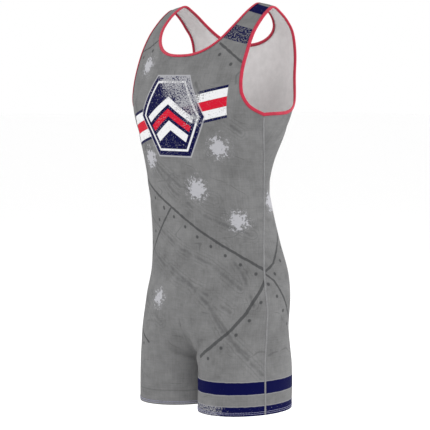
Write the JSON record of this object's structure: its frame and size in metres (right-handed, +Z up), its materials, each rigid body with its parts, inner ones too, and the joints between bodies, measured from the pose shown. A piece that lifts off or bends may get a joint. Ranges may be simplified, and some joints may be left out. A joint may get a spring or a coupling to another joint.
{
  "type": "wrestling singlet",
  "caption": "Sleeveless one-piece stretch garment with a scooped neck, deep armholes, bound edges and short legs, filled out as worn with nobody in it.",
  "frame": {"origin": "on the mid-plane, half way between the tops of the two shoulder straps, where the wearer's shoulders hold the garment up", "axes": "+Z up along the body, -Y towards the front of the garment, +X towards the wearer's left"},
  "size_m": [0.3592, 0.2284, 0.7628],
  "materials": {
    "cloth": "smooth printed stretch knit, grey with a brushed metal print and navy patches",
    "binding": "matt crimson stretch binding"
  },
  "bodies": {
    "root": {"front_panel": "cloth", "back_panel": "cloth", "neck_binding": "binding", "left_armhole_binding": "binding", "right_armhole_binding": "binding"}
  },
  "joints": []
}
